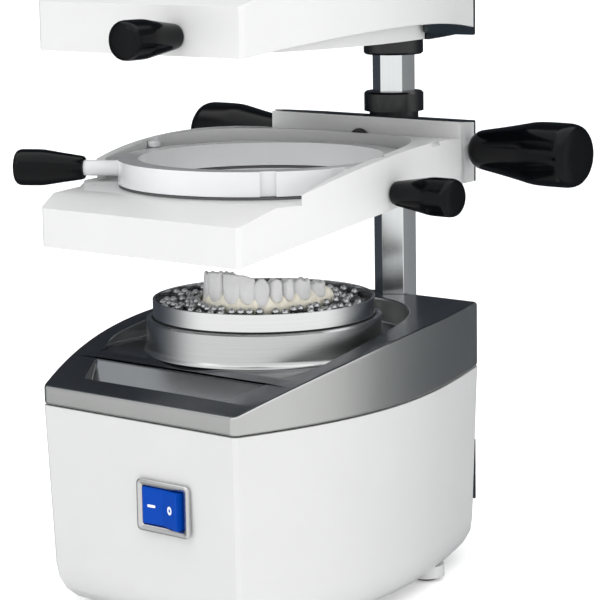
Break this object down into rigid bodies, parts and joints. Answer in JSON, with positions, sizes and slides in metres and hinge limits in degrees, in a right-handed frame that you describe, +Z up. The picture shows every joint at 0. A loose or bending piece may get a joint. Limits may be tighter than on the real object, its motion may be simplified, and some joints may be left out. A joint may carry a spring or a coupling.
{
  "type": "dental vacuum former",
  "caption": "Bench-top dental vacuum former: swinging heater head, sliding sheet carrier with clamp ring, vacuum platform with pellet tray and cast.",
  "frame": {"origin": "table level, on the axis of the vacuum platform, which is also the middle of the object's length and width", "axes": "+Z up, -Y to the front with the switch, +X to the right as seen from the front"},
  "size_m": [0.243, 0.2399, 0.3197],
  "materials": {
    "tub_white": "satin white paint",
    "grey_cover": "satin metallic grey paint",
    "dark_panel": "satin black",
    "black_rubber": "matt",
    "turned_aluminium": "turned",
    "sheet_aluminium": "spun",
    "motor_steel": "satin",
    "laminated_steel": "laminated",
    "zinc_steel": "zinc plated",
    "bezel_grey": "metallic grey",
    "black_plastic": "matt",
    "column_steel": "bright drawn",
    "copper_windings": "varnished copper",
    "polished_steel": "ground",
    "blue_rocker": "gloss blue",
    "white_paint": "satin white paint",
    "reflector_alloy": "bright",
    "heater_sheath": "oxidised",
    "ceramic": "matt",
    "mineral_wool": "matt",
    "bronze": "plain",
    "black_acetal": "satin",
    "black_grip": "gloss black",
    "white_plastic": "gloss",
    "ring_white": "satin white",
    "tray_aluminium": "turned",
    "pellet_steel": "polished",
    "dental_stone": "matt"
  },
  "bodies": {
    "base": {"base_shell": "tub_white", "top_cover": "grey_cover", "rear_panel": "dark_panel", "rubber_feet": "black_rubber", "vacuum_platform": "turned_aluminium", "platform_gasket": "black_rubber", "platform_screws": "zinc_steel", "suction_sleeve": "black_rubber", "fan_casing": "sheet_aluminium", "motor_can": "motor_steel", "stator_core": "laminated_steel", "motor_bearings": "zinc_steel", "motor_bracket": "zinc_steel", "bracket_screws": "zinc_steel", "switch_bezel": "bezel_grey", "switch_body": "black_plastic", "power_inlet": "black_plastic", "inlet_pins": "polished_steel", "fuse_cap": "black_plastic", "column": "column_steel", "column_plate": "zinc_steel", "column_nut": "zinc_steel", "case_bolts": "zinc_steel", "pivot_spindle": "polished_steel", "spindle_nut": "zinc_steel"},
    "rotor": {"motor_rotor": "copper_windings", "motor_shaft": "polished_steel", "impeller": "sheet_aluminium"},
    "rocker": {"switch_rocker": "blue_rocker"},
    "head": {"head_shell": "white_paint", "head_rear_cover": "dark_panel", "heater_housing": "white_paint", "reflector": "reflector_alloy", "heating_element": "heater_sheath", "ceramic_posts": "ceramic", "insulation_pad": "mineral_wool", "head_arm": "zinc_steel", "head_bush": "bronze", "upper_collar": "black_acetal", "head_grip": "black_grip", "head_grip_stud": "zinc_steel", "head_screws": "zinc_steel"},
    "carrier": {"carrier_frame": "white_paint", "carrier_rear_cover": "dark_panel", "slide_bush": "black_acetal", "friction_screw": "black_plastic", "handle_studs": "zinc_steel", "left_handle": "black_grip", "right_handle": "black_grip", "side_grip": "black_grip", "side_grip_stud": "zinc_steel", "sheet_gasket": "black_rubber", "ring_buttons": "white_plastic"},
    "ring": {"clamp_ring": "ring_white", "lever_rod": "white_plastic", "lever_grip": "black_grip"},
    "tray": {"pellet_tray": "tray_aluminium", "steel_pellets": "pellet_steel", "dental_cast": "dental_stone"}
  },
  "joints": [
    {"name": "head_swing", "type": "hinge", "parent": "base", "child": "head", "pos_m": [0, 0.1047, 0.288], "axis": [0, 0, 1], "range_deg": [-110, 110]},
    {"name": "carrier_slide", "type": "slide", "parent": "base", "child": "carrier", "axis": [0, 0, 1], "range_m": [-0.061, 0.0185]},
    {"name": "ring_turn", "type": "hinge", "parent": "carrier", "child": "ring", "pos_m": [0, 0, 0.214], "axis": [0, 0, 1], "range_deg": [0, 18]},
    {"name": "rocker_tilt", "type": "hinge", "parent": "base", "child": "rocker", "pos_m": [0.0168, -0.0878, 0.064], "axis": [0, 0, 1], "range_deg": [0, 14]},
    {"name": "tray_lift", "type": "slide", "parent": "base", "child": "tray", "axis": [0, 0, 1], "range_m": [0, 0.025]},
    {"name": "impeller_spin", "type": "hinge", "parent": "base", "child": "rotor", "pos_m": [0, 0, 0.06], "axis": [0, 0, 1], "continuous": true}
  ]
}
